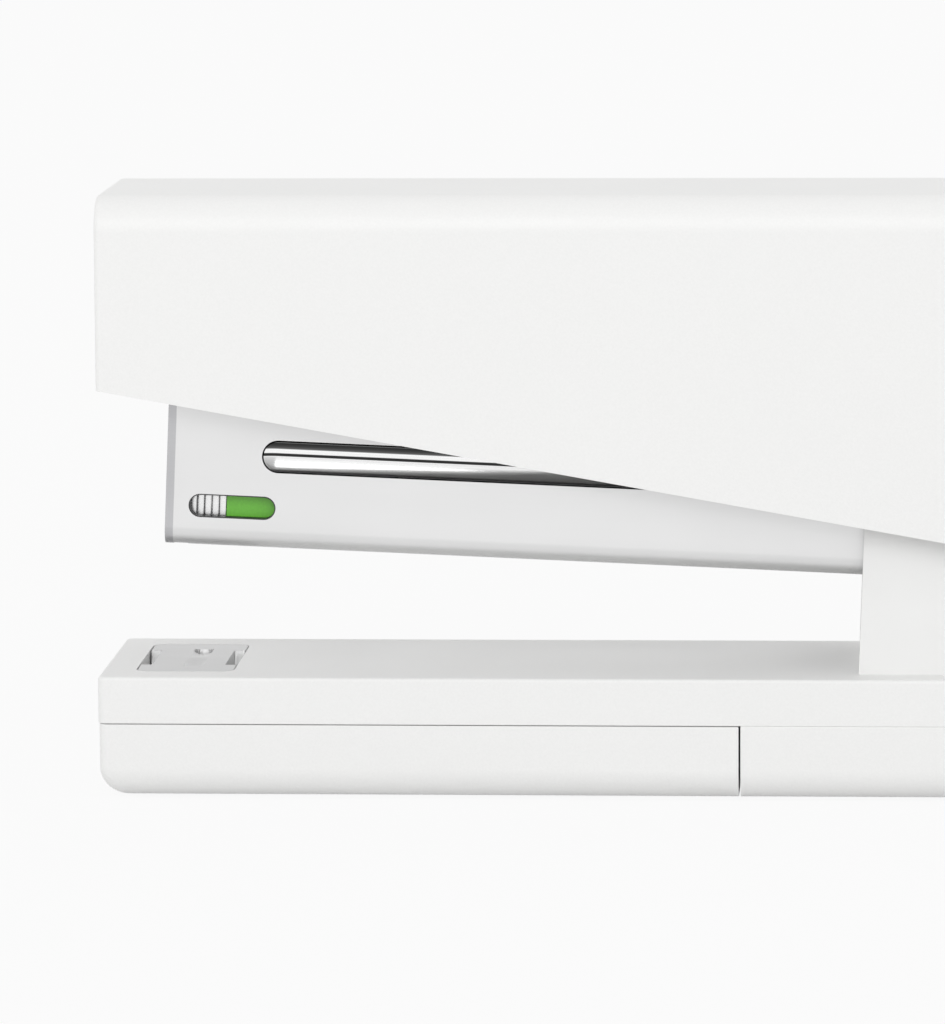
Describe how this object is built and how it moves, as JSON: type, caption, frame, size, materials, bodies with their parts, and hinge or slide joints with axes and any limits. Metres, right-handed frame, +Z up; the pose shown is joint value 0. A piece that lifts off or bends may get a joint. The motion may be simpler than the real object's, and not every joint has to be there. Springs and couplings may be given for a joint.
{
  "type": "desktop stapler",
  "caption": "Manual desktop stapler: press-down cover over a spring-lifted tilted magazine with a side window, on a long base with an anvil plate and a staple drawer.",
  "frame": {"origin": "centre of the footprint, at the underside of the foot pads", "axes": "+X from the nose to the rear hinge, +Y across, +Z up"},
  "size_m": [0.1524, 0.0264, 0.061],
  "materials": {
    "white_shell": "fine moulded texture, satin",
    "white_enamel": "satin white enamel on folded steel",
    "rubber_pads": "matte moulded rubber",
    "satin_steel": "satin nickel-plated sheet",
    "frame_steel": "zinc-plated sheet",
    "anvil_steel": "satin plated steel",
    "spring_steel": "bright spring wire and strip",
    "screw_steel": "zinc-plated fasteners",
    "staple_wire": "galvanised wire",
    "dark_acetal": "moulded acetal",
    "green_follower": "moulded green plastic"
  },
  "bodies": {
    "base": {"base_slab": "white_shell", "stiffener_plate": "frame_steel", "anvil_plate": "anvil_steel", "anvil_screw": "screw_steel", "rear_base_cover": "white_shell", "hinge_bracket": "white_enamel", "bracket_screws": "screw_steel", "base_cover_screws": "screw_steel", "rear_foot_pad": "rubber_pads", "lift_spring": "spring_steel", "pivot_pin": "screw_steel", "pivot_clips": "spring_steel", "drawer_catch": "dark_acetal", "stop_pin": "screw_steel"},
    "magazine": {"magazine_channel": "satin_steel", "nose_plate": "frame_steel", "staple_rail": "frame_steel", "staple_strip": "staple_wire", "guide_rod": "screw_steel", "follower_spring": "spring_steel", "rail_end_block": "dark_acetal", "magazine_bushes": "dark_acetal", "channel_rivets": "screw_steel"},
    "follower": {"follower": "green_follower"},
    "cover": {"top_cover": "white_shell", "press_frame": "frame_steel", "driver_blade": "frame_steel", "frame_rivets": "screw_steel", "cover_screws": "screw_steel", "return_spring": "spring_steel"},
    "drawer": {"staple_drawer": "white_shell", "drawer_pad": "rubber_pads"}
  },
  "joints": [
    {"name": "magazine_tilt", "type": "hinge", "parent": "base", "child": "magazine", "pos_m": [0.064, 0, 0.0245], "axis": [0, 1, 0], "range_deg": [-5.4, 0], "stiffness_Nm_per_rad": 3, "springref_deg": 3.44, "deforming": ["lift_spring"]},
    {"name": "cover_hinge", "type": "hinge", "parent": "magazine", "child": "cover", "pos_m": [0.064, 0, 0.0245], "axis": [0, 1, 0], "range_deg": [-3.37, 75], "stiffness_Nm_per_rad": 0.8, "springref_deg": 3.44, "deforming": ["return_spring"]},
    {"name": "follower_slide", "type": "slide", "parent": "magazine", "child": "follower", "axis": [0.999, 0, -0.0436], "range_m": [0, 0.072], "stiffness_N_per_m": 40, "springref_m": -0.04, "deforming": ["follower_spring"]},
    {"name": "drawer_slide", "type": "slide", "parent": "base", "child": "drawer", "axis": [-1, 0, 0], "range_m": [0, 0.045]}
  ]
}
